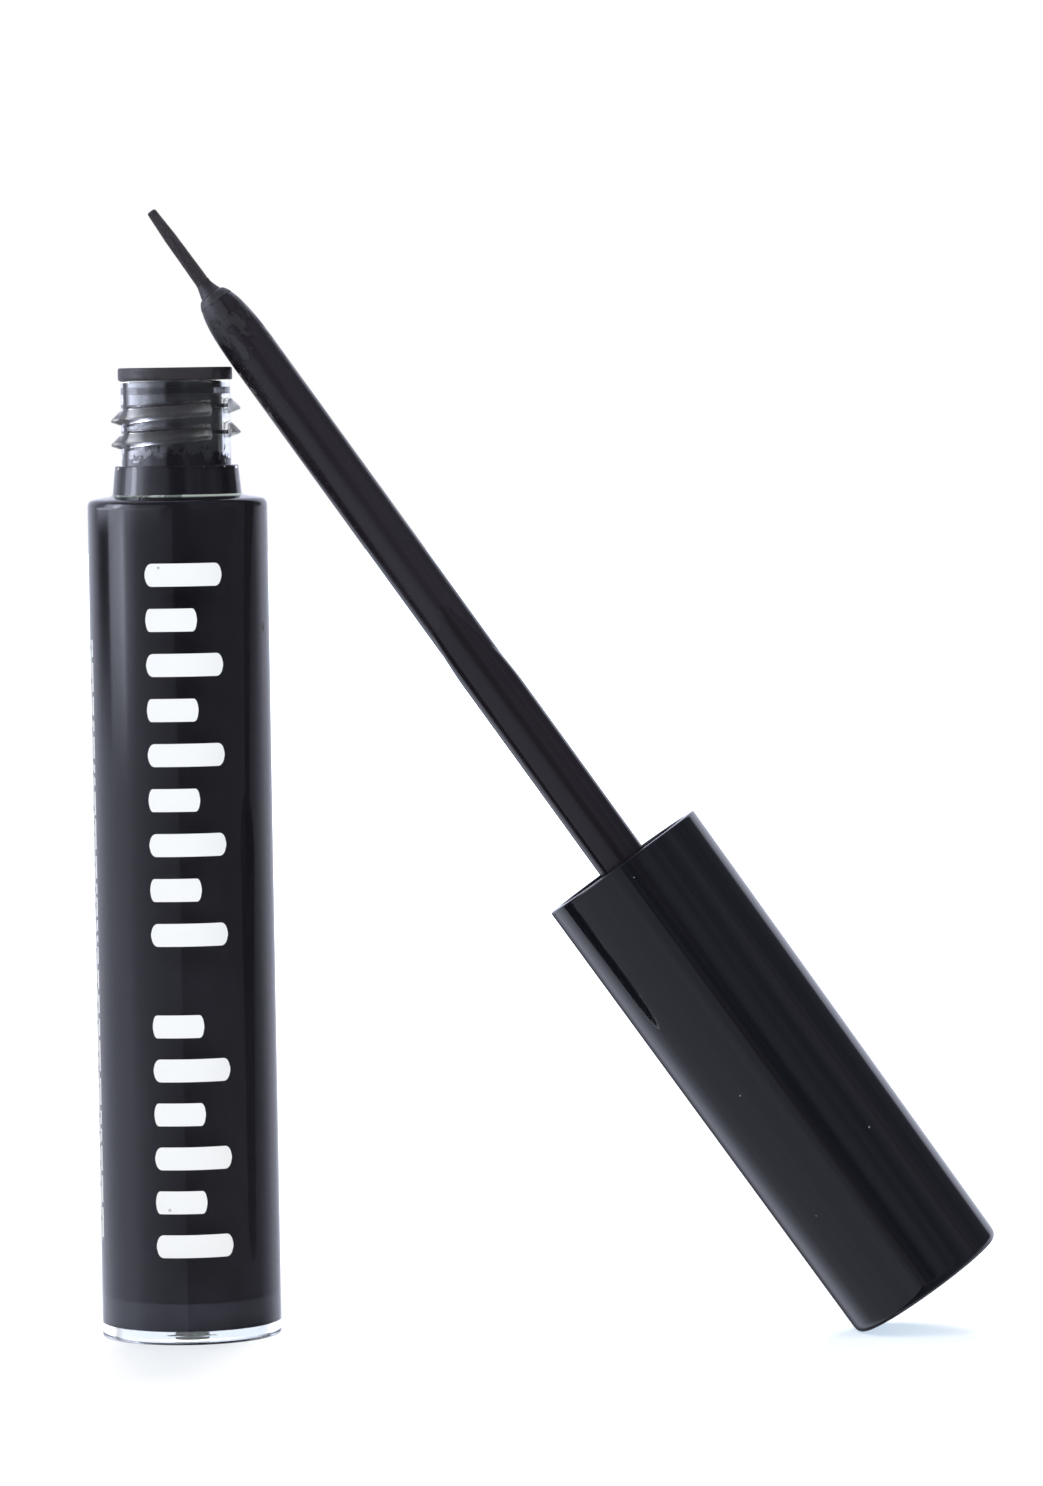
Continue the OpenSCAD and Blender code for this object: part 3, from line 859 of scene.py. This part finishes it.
# %% Finish: patchy ink beside the wiper
RUN_FROM, RUN_TO = -112.0, -99.0
patchy, tree, shader, place = finish("patchy_ink", (0.015, 0.013, 0.017), 0.5, Specular_IOR_Level=0.0)
across, deep, up = along_axes(tree, place)
cover = spread(tree, up, 0.0728, 0.0746, 0.6, 0.38)
patches = use(tree, smears, Place=place, Stretch=(1.0, 1.0, 0.8), Scale=1900.0, Cover=cover)["Mask"]
low_down = sums(tree, "MULTIPLY", patches, spread(tree, up, 0.0750, 0.0746))
round_at = sums(tree, "DEGREES", sums(tree, "ARCTAN2", across, deep))
ragged = sums(tree, "MULTIPLY_ADD", use(tree, grain, Place=place, Scale=900.0)["Height"], 12.0, round_at)
past_start = spread(tree, ragged, RUN_FROM - 2, RUN_FROM)
run = sums(tree, "MULTIPLY", past_start, spread(tree, ragged, RUN_TO + 2, RUN_TO))
tree.links.new(sums(tree, "MAXIMUM", low_down, run), shader.inputs["Alpha"])
wear(patchy, crept_ink)

# %% [markdown]
# The ring at the foot of the collar carries a painted highlight: a pale colour that stands for the line
# of light seen there. The line is uneven, and stronger on the right.

# %% Finish: painted highlight at the collar
highlight_paint, tree, shader, place = finish("painted_highlight_at_collar", (0.36, 0.41, 0.38), 0.35)
cover = spread(tree, along_axes(tree, place)[0], -0.002, 0.004, 0.44, 0.72)
highlight_patches = use(tree, smears, Place=place, Scale=700.0, Cover=cover)["Mask"]
# Alpha lets the pale painted highlight show in uneven patches, more of it on the right.
tree.links.new(sums(tree, "MULTIPLY_ADD", highlight_patches, 0.7, 0.25), shader.inputs["Alpha"])
wear(highlight_paint, collar_highlight)

# %% [markdown]
# The wiper is soft plastic with a satin skin. Fine grain breaks up its highlight, and some ink has
# stained it below the flange.

# %% Finish: satin wiper
SOFT_BLACK = (0.03, 0.0285, 0.034)
satin, tree, shader, place = finish("satin_wiper_plastic", SOFT_BLACK, 0.42, Specular_IOR_Level=0.4)
stains = use(tree, smears, Place=place, Stretch=(1.0, 1.0, 0.7), Scale=420.0, Cover=0.47)
tone = mix_colours(tree, stains["Mask"], SOFT_BLACK, (0.017, 0.016, 0.02))
inky = sums(tree, "MULTIPLY", spread(tree, along_axes(tree, place)[2], 0.0798, 0.0785), 0.45)
tree.links.new(mix_colours(tree, inky, tone, (0.008, 0.0075, 0.009)), shader.inputs["Base Color"])
fine = use(tree, grain, Place=place, Scale=2600.0)["Height"]
tree.links.new(spread(tree, fine, 0.3, 0.7, 0.34, 0.5), shader.inputs["Roughness"])
relief(tree, shader, fine, 0.00002, 0.35)
wear(satin, wiper)

# %% [markdown]
# The shell is polished black. Handling leaves fine lengthwise marks that show only in the gloss, and
# a few specks of dust. The black itself has faint streaks along the cap, where the plastic flowed.

# %% Finish: glossy cap
gloss, tree, shader, place = finish("gloss_black_cap", (0.0068, 0.0075, 0.0108), 0.02, IOR=1.5)
rub = use(tree, grain, Place=place, Stretch=(1.0, 1.0, 0.02), Scale=900.0)["Height"]
specks = use(tree, dust, Place=place, Scale=1400.0, Amount=0.012)["Mask"]
flow = use(tree, grain, Place=place, Stretch=(1.0, 1.0, 0.004), Scale=2000.0)["Height"]
streaks = spread(tree, flow, 0.46, 0.66)
tone = mix_colours(tree, streaks, (0.0056, 0.0067, 0.0104), (0.0088, 0.0086, 0.0118))
tone = mix_colours(tree, specks, tone, (0.22, 0.24, 0.26))
tree.links.new(tone, shader.inputs["Base Color"])
tree.links.new(spread(tree, rub, 0.45, 0.8, 0.015, 0.09), shader.inputs["Roughness"])
lines = use(tree, grain, Place=place, Stretch=(1.0, 1.0, 0.006), Scale=1500.0)["Height"]
relief(tree, shader, lines, 0.000012, 0.8)
wear(gloss, cap_shell)

# %% [markdown]
# The inner cap is never polished. It is a plain black with a fine grain that blurs its highlights.

# %% Finish: plain black inner cap
plain, tree, shader, place = finish("plain_black_moulding", (0.018, 0.018, 0.02), 0.38)
fine = use(tree, grain, Place=place, Scale=1800.0)["Height"]
tree.links.new(spread(tree, fine, 0.3, 0.7, 0.3, 0.48), shader.inputs["Roughness"])
relief(tree, shader, fine, 0.00002, 0.3)
wear(plain, inner)

# %% [markdown]
# The stem has been in the ink. On the nose the ink dried to a grey film with dark edges, along the
# middle it is a thin even coat, and close to the cap it is still wet. The smear effect is placed
# twice, for the nose and for the wet end, and a mask along the stem keeps each in its place.

# %% Finish: inked stem
inked, tree, shader, place = finish("inked_stem", (0.014, 0.0135, 0.0165), 0.25, IOR=1.5)
along = along_axes(tree, place)[2]
on_nose = spread(tree, along, -0.047, -0.0535)
by_cap = spread(tree, along, -0.019, -0.0165)
cover = sums(tree, "MULTIPLY_ADD", on_nose, 0.08, 0.42)
dried = use(tree, smears, Place=place, Stretch=(1.0, 1.0, 0.55), Scale=420.0, Cover=cover)
dry = sums(tree, "MULTIPLY", dried["Mask"], on_nose)
runs = use(tree, smears, Place=place, Stretch=(1.0, 1.0, 0.22), Scale=380.0, Cover=0.56)["Mask"]
wet = sums(tree, "MULTIPLY", runs, by_cap)
tone = mix_colours(tree, dry, (0.015, 0.0125, 0.0185), (0.023, 0.0225, 0.029))
flecks = use(tree, dust, Place=place, Scale=3600.0, Amount=0.1)["Mask"]
tone = mix_colours(tree, sums(tree, "MULTIPLY", flecks, on_nose), tone, (0.075, 0.095, 0.11))
tone = mix_colours(tree, sums(tree, "MULTIPLY", dried["Rim"], on_nose), tone, (0.009, 0.0075, 0.01))
tree.links.new(tone, shader.inputs["Base Color"])
fine = use(tree, grain, Place=place, Stretch=(1.0, 1.0, 0.12), Scale=1500.0)["Height"]
rough = sums(tree, "MULTIPLY_ADD", dry, 0.2, spread(tree, fine, 0.3, 0.7, 0.2, 0.32))
rough = sums(tree, "MULTIPLY_ADD", wet, -0.14, rough)
tree.links.new(rough, shader.inputs["Roughness"])
skin_height = sums(tree, "MULTIPLY_ADD", wet, 2.5, sums(tree, "ADD", fine, dry))
relief(tree, shader, skin_height, 0.00002, 0.5)
wear(inked, stem)

# %% [markdown]
# The coat close to the cap is wet ink, so it is smooth, with slow ripples that run along the stem.

# %% Finish: wet coat
wet_ink, tree, shader, place = finish("wet_ink_coat", (0.012, 0.0105, 0.0145), 0.12, IOR=1.45)
ripple = use(tree, grain, Place=place, Stretch=(1.0, 1.0, 0.2), Scale=520.0)["Height"]
tree.links.new(spread(tree, ripple, 0.35, 0.7, 0.08, 0.2), shader.inputs["Roughness"])
relief(tree, shader, ripple, 0.00003, 0.5)
wear(wet_ink, coat)

# %% [markdown]
# The nib is matt, with a trace of sheen from the ends of its fibres. The web beside it is dried ink,
# a little smoother, and softly lumpy.

# %% Finish: felted nib and the ink web
felt, tree, shader, place = finish(
    "felted_fibre", (0.026, 0.0225, 0.029), 0.8, Sheen_Weight=0.15, Sheen_Roughness=0.5
)
fibres = use(tree, grain, Place=place, Stretch=(1.0, 1.0, 0.22), Scale=4200.0)["Height"]
clumps = use(tree, grain, Place=place, Stretch=(1.0, 1.0, 0.6), Scale=1400.0)["Height"]
clouded(tree, shader, fibres, 0.35, 0.75, (0.0185, 0.0152, 0.0215), (0.043, 0.0365, 0.05))
relief(tree, shader, sums(tree, "ADD", fibres, clumps), 0.00003, 0.7)
wear(felt, nib)

dried_ink, tree, shader, place = finish("dried_ink", (0.024, 0.0235, 0.029), 0.52)
lumps = use(tree, grain, Place=place, Scale=1300.0)["Height"]
clouded(tree, shader, lumps, 0.4, 0.7, (0.018, 0.0175, 0.022), (0.034, 0.0335, 0.04))
relief(tree, shader, lumps, 0.00004, 0.5)
wear(dried_ink, web)

# %% [markdown]
# Screen print is a thick white paint. It is nearly flat white, with pinholes where the mesh did not
# wet the plastic, and the mesh leaves a fine relief in it.

# %% Finish: white paint
PAINT_WHITE = (0.82, 0.865, 0.91)
white, tree, shader, place = finish("white_screen_paint", PAINT_WHITE, 0.45)
pins = use(tree, dust, Place=place, Scale=1500.0, Amount=0.05)["Mask"]
mesh_marks = use(tree, grain, Place=place, Scale=3200.0)["Height"]
tone = mix_colours(tree, pins, PAINT_WHITE, (0.5, 0.51, 0.54))
tree.links.new(tone, shader.inputs["Base Color"])
relief(tree, shader, mesh_marks, 0.000015, 0.4)
wear(white, scale, dashes)
print("materials:", sorted(m.name for m in bpy.data.materials))

# %% [markdown]
# ## What each piece stands for
# Each dressed piece but the web rides on a body of the imported model. For the main pieces the list
# gives the body, the solid whose imported part is hidden, and a slot of the record, not used here.

# %% Tie the pieces to the bodies
STANDS_FOR = (
    (bottle, "bottle", "bottle", "clear_plastic"),
    (base_plug, "bottle", "base_plug", "clear_plastic"),
    (ink, "bottle", "ink", "black_ink"),
    (wiper, "bottle", "wiper", "soft_dark_plastic"),
    (cap_shell, "applicator", "cap_shell", "gloss_black_plastic"),
    (inner, "applicator", "inner_cap", "plain_black_plastic"),
    (stem, "applicator", "stem", "stem_plastic"),
    (nib, "nib", "nib", "black_fibre"),
)
for piece, body, node, slot in STANDS_FOR:
    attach(piece, body)
    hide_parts(node)
TRIM = (joint_film, gate_scar, crept_ink, collar_highlight, scale, dashes)
for piece in TRIM:
    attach(piece, "bottle")
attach(coat, "applicator")
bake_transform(web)
print("tied", len(STANDS_FOR) + len((*TRIM, coat, web)), "pieces")

# %% [markdown]
# ## The table, the light and the camera
# The table is a pale surface that takes a shadow, so the bottle stands on something. For the camera
# and for what is seen through plastic it glows as well, which makes it white. Close to the bottle it
# glows less, which paints a soft darker patch round the foot, a painted shadow over the real one.
# Gloss looks through the table, and sees the studio below instead.

# %% The table
def sheet_of(name, corners):
    mesh = bpy.data.meshes.new(name)
    mesh.from_pydata([Vector(c) * MM for c in corners], [], [range(len(corners))])
    piece = bpy.data.objects.new(name, mesh)
    bpy.context.scene.collection.objects.link(piece)
    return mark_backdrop(piece) or piece


table = sheet_of("table", [(-2500, -115, 0), (2500, -115, 0), (2500, 2500, 0), (-2500, 2500, 0)])
paper, tree, shader, place = finish("table_paper", (0.5, 0.45, 0.4), 0.9, Specular_IOR_Level=0.0)
measure = put(tree, "ShaderNodeVectorMath", _0=place)
measure.operation = "LENGTH"
away = measure.outputs["Value"]
# The glow is lower within about five centimetres of the bottle: a painted shadow round the foot.
glow_with_painted_shadow = sums(tree, "ADD", spread(tree, away, 0.02, 0.055, 0.5, 0.74), spread(tree, away, 0.1, 0.6, 0.0, 1.2))
path = tree.nodes.new("ShaderNodeLightPath").outputs
direct = sums(tree, "MULTIPLY", path["Is Camera Ray"], glow_with_painted_shadow)
strength = sums(tree, "MAXIMUM", direct, sums(tree, "MULTIPLY", path["Is Transmission Ray"], 1.3))
tint = mix_colours(tree, path["Is Camera Ray"], (0.98, 1.04, 1.14), (0.7, 0.85, 1.02))
glow = put(tree, "ShaderNodeEmission", Color=tint, Strength=strength)
lit = put(tree, "ShaderNodeAddShader", _0=shader.outputs[0], _1=glow.outputs[0])
mirrored = sums(tree, "SUBTRACT", path["Is Glossy Ray"], path["Is Transmission Ray"], clamp=True)
clear_way = put(tree, "ShaderNodeBsdfTransparent")
both = put(tree, "ShaderNodeMixShader", _0=mirrored, _1=lit.outputs[0], _2=clear_way.outputs[0])
tree.links.new(both.outputs[0], tree.nodes["Material Output"].inputs[0])
wear(paper, table)

# %% [markdown]
# Black gloss shows only what it reflects, so the studio is drawn for its reflections, all the way
# round. Angles run from straight behind the object, to the left as negative numbers, and the camera
# is at 180. It is white behind. To the left stands a tall soft light that is brightest high up, and
# from there a dim wall runs on towards the camera, where it ends sharply. The rest is dim, with a
# few faint things on the right. Five lists hold the brightness: above the neck, at its level, at the
# level of the shoulder, below it, and far below, where the table itself is what shines. From about
# thirty degrees up, the left side is nearly dark again.

# %% What the gloss sees all round
ABOVE = (
    (-180, 0.03), (-172, 0.06), (-165, 0.4), (-150, 0.6), (-133, 0.8), (-121, 1.6), (-114, 2.8),
    (-105, 3.9), (-100, 9.0), (-94, 9.6), (-90, 5.4), (-83, 4.4), (-77, 3.8), (-72, 1.4), (-62, 0.72),
    (-50, 0.95), (-38, 1.15), (36, 1.2), (39, 1.05), (43, 0.12), (68, 0.09), (85, 0.11), (99, 0.16),
    (104, 0.24), (108, 0.22), (118, 0.15), (125, 0.09), (130, 0.11), (136, 0.2), (144, 0.14), (149, 0.22),
    (157, 0.26), (159, 0.2), (163, 0.13), (164.5, 0.03), (180, 0.03),
)
AT_NECK = (
    (-180, 0.06), (-164, 0.06), (-161, 0.4), (-156, 0.9), (-145, 1.1), (-135, 1.2), (-128, 1.7),
    (-122, 2.6), (-113, 3.4), (-100, 3.2), (-95, 4.0), (-88, 4.6), (-78, 5.0), (-67, 4.6), (-60, 3.0),
    (-54, 0.8), (-48, 0.95), (-38, 1.15), (38, 1.15), (46, 0.85), (56, 0.3), (66, 0.16), (98, 0.12),
    (148, 0.16), (151, 0.22), (160, 0.22), (163, 0.12), (180, 0.06),
)
AT_SHOULDER = (
    (-180, 0.03), (-176.5, 0.03), (-175, 0.26), (-165, 0.28), (-157, 0.33), (-147, 0.32), (-136, 0.42),
    (-127, 0.6), (-120, 1.1), (-113, 1.9), (-109.5, 3.2), (-106.5, 5.0), (-100, 4.0), (-90, 2.9),
    (-85, 2.3), (-80, 0.25), (-73, 0.06), (-63, 0.22), (-52, 0.75), (-40, 1.1), (44, 1.05), (60, 0.36),
    (71, 0.16), (95, 0.13), (150, 0.08), (168, 0.03), (180, 0.03),
)
BELOW = (
    (-180, 0.17), (-178.2, 0.17), (-177.2, 0.38), (-166, 0.4), (-150, 0.42), (-140, 0.46), (-131, 0.53),
    (-120, 0.64), (-114, 0.8), (-105, 1.0), (-80, 1.08), (-50, 1.2), (-30, 1.1), (44, 0.96), (56, 0.68),
    (66, 0.43), (77, 0.22), (95, 0.17), (180, 0.17),
)
FAR_BELOW = (
    (-180, 0.03), (-178, 0.03), (-177.4, 0.57), (-160, 0.55), (-150, 0.56), (-135, 0.6), (-110, 0.6),
    (-79, 0.62), (-63, 0.88), (-47, 1.2), (-36, 1.2), (-27, 0.7), (-17, 0.15), (20, 0.15), (40, 0.7),
    (70, 0.4), (95, 0.2), (180, 0.03),
)


def all_round(tree, angle, stops):
    """Brightness that follows straight lines between the stops of a list."""
    total = stops[0][1]
    for (start, low), (end, high) in zip(stops, stops[1:]):
        step = put(
            tree, "ShaderNodeMapRange",
            Value=angle, From_Min=start, From_Max=end, To_Min=0.0, To_Max=high - low,
        )
        total = sums(tree, "ADD", total, step.outputs[0])
    return total


def blended(tree, share, first, second):
    """First where share is 0, second where it is 1."""
    return sums(tree, "MULTIPLY_ADD", sums(tree, "SUBTRACT", second, first), share, first)


world = bpy.data.worlds.new("studio")
bpy.context.scene.world = world
world.use_nodes = True
tree = world.node_tree
toward = tree.nodes.new("ShaderNodeTexCoord").outputs["Generated"]
across, deep, up = along_axes(tree, toward)
angle = sums(tree, "DEGREES", sums(tree, "ARCTAN2", across, deep))
height = sums(tree, "DEGREES", sums(tree, "ARCSINE", up))
OVER_BELOW = (
    (AT_SHOULDER, -3.6, -1.6), (AT_NECK, -1.35, -0.85), (FAR_BELOW, -8.2, -11.5), (ABOVE, 1.0, 2.5),
)
studio = all_round(tree, angle, BELOW)
for stops, from_height, to_height in OVER_BELOW:
    share = spread(tree, height, from_height, to_height)
    studio = blended(tree, share, studio, all_round(tree, angle, stops))
overhead = spread(tree, height, 26.0, 36.0, 0.0, 0.93)
high_left = sums(tree, "MULTIPLY", overhead, spread(tree, angle, -62.0, -74.0))
studio = sums(tree, "MULTIPLY", studio, sums(tree, "SUBTRACT", 1.0, high_left))
print("stops all round:", len(BELOW) + sum(len(row[0]) for row in OVER_BELOW))

# %% The world: the studio for gloss, white for the camera, a plain level for the rest
WHITE_LIGHT, BLUISH_LIGHT = (1.0, 1.0, 1.0), (0.84, 0.88, 1.06)
path = tree.nodes.new("ShaderNodeLightPath").outputs
for_gloss = sums(tree, "MULTIPLY", path["Is Glossy Ray"], studio)
plain_rays = sums(tree, "SUBTRACT", 1.0, path["Is Glossy Ray"])
for_plain = sums(tree, "MULTIPLY", plain_rays, sums(tree, "MULTIPLY_ADD", path["Is Camera Ray"], 0.4, 0.6))
tint = mix_colours(tree, path["Is Glossy Ray"], WHITE_LIGHT, BLUISH_LIGHT)
shine = tree.nodes["Background"]
tree.links.new(tint, shine.inputs["Color"])
tree.links.new(sums(tree, "ADD", for_gloss, for_plain), shine.inputs["Strength"])
print("world ready")

# %% [markdown]
# Three large soft lamps give the plain level of light. They are hidden from gloss, because the studio
# above already holds all that the plastic mirrors.

# %% The lamps
AIM_AT = Vector((0.02, 0, 0.04))


def lamp(name, place, size, watts):
    data = bpy.data.lights.new(name, "AREA")
    data.shape = "DISK"
    data.size = size
    data.energy = watts
    piece = bpy.data.objects.new(name, data)
    bpy.context.scene.collection.objects.link(piece)
    piece.location = place
    piece.rotation_mode = "QUATERNION"
    piece.rotation_quaternion = (AIM_AT - piece.location).to_track_quat("-Z", "Y")
    piece.visible_glossy = False
    piece.visible_camera = False
    piece.visible_transmission = False


lamp("key_soft_lamp", (-0.45, -0.75, 0.75), 0.6, 6.9)
lamp("fill_soft_lamp", (0.7, -0.5, 0.6), 0.7, 3.6)
lamp("back_soft_lamp", (0.02, 0.75, 0.75), 0.5, 12.0)

# %% [markdown]
# The camera stands in front of the bottle, a little above it, and looks slightly down. It is rolled
# by less than a degree, as a hand-held camera is. Its place and lens were worked out from the
# outline of both pieces in the photograph.

# %% The camera
PITCH_DOWN, ROLL, FOCAL_LENGTH = math.radians(3.175), math.radians(-0.885), 162.37
CAMERA_AT = Vector((28.43, -560, 80.29))
lens = bpy.data.cameras.new("camera")
lens.lens = FOCAL_LENGTH
lens.sensor_width = 36
lens.clip_start, lens.clip_end = 0.01, 20
camera = bpy.data.objects.new("camera", lens)
bpy.context.scene.collection.objects.link(camera)
ahead = Vector((0, math.cos(PITCH_DOWN), -math.sin(PITCH_DOWN)))
right = Vector((1, 0, 0))
up = Vector((0, math.sin(PITCH_DOWN), math.cos(PITCH_DOWN)))
side = right * math.cos(ROLL) + up * math.sin(ROLL)
over = up * math.cos(ROLL) - right * math.sin(ROLL)
turned_to = Matrix((side, over, -ahead)).transposed().to_4x4()
camera.matrix_world = Matrix.Translation(CAMERA_AT * MM) @ turned_to
bpy.context.scene.camera = camera
bpy.context.scene.view_settings.view_transform = "Standard"
print("camera at", [round(v, 4) for v in camera.location])
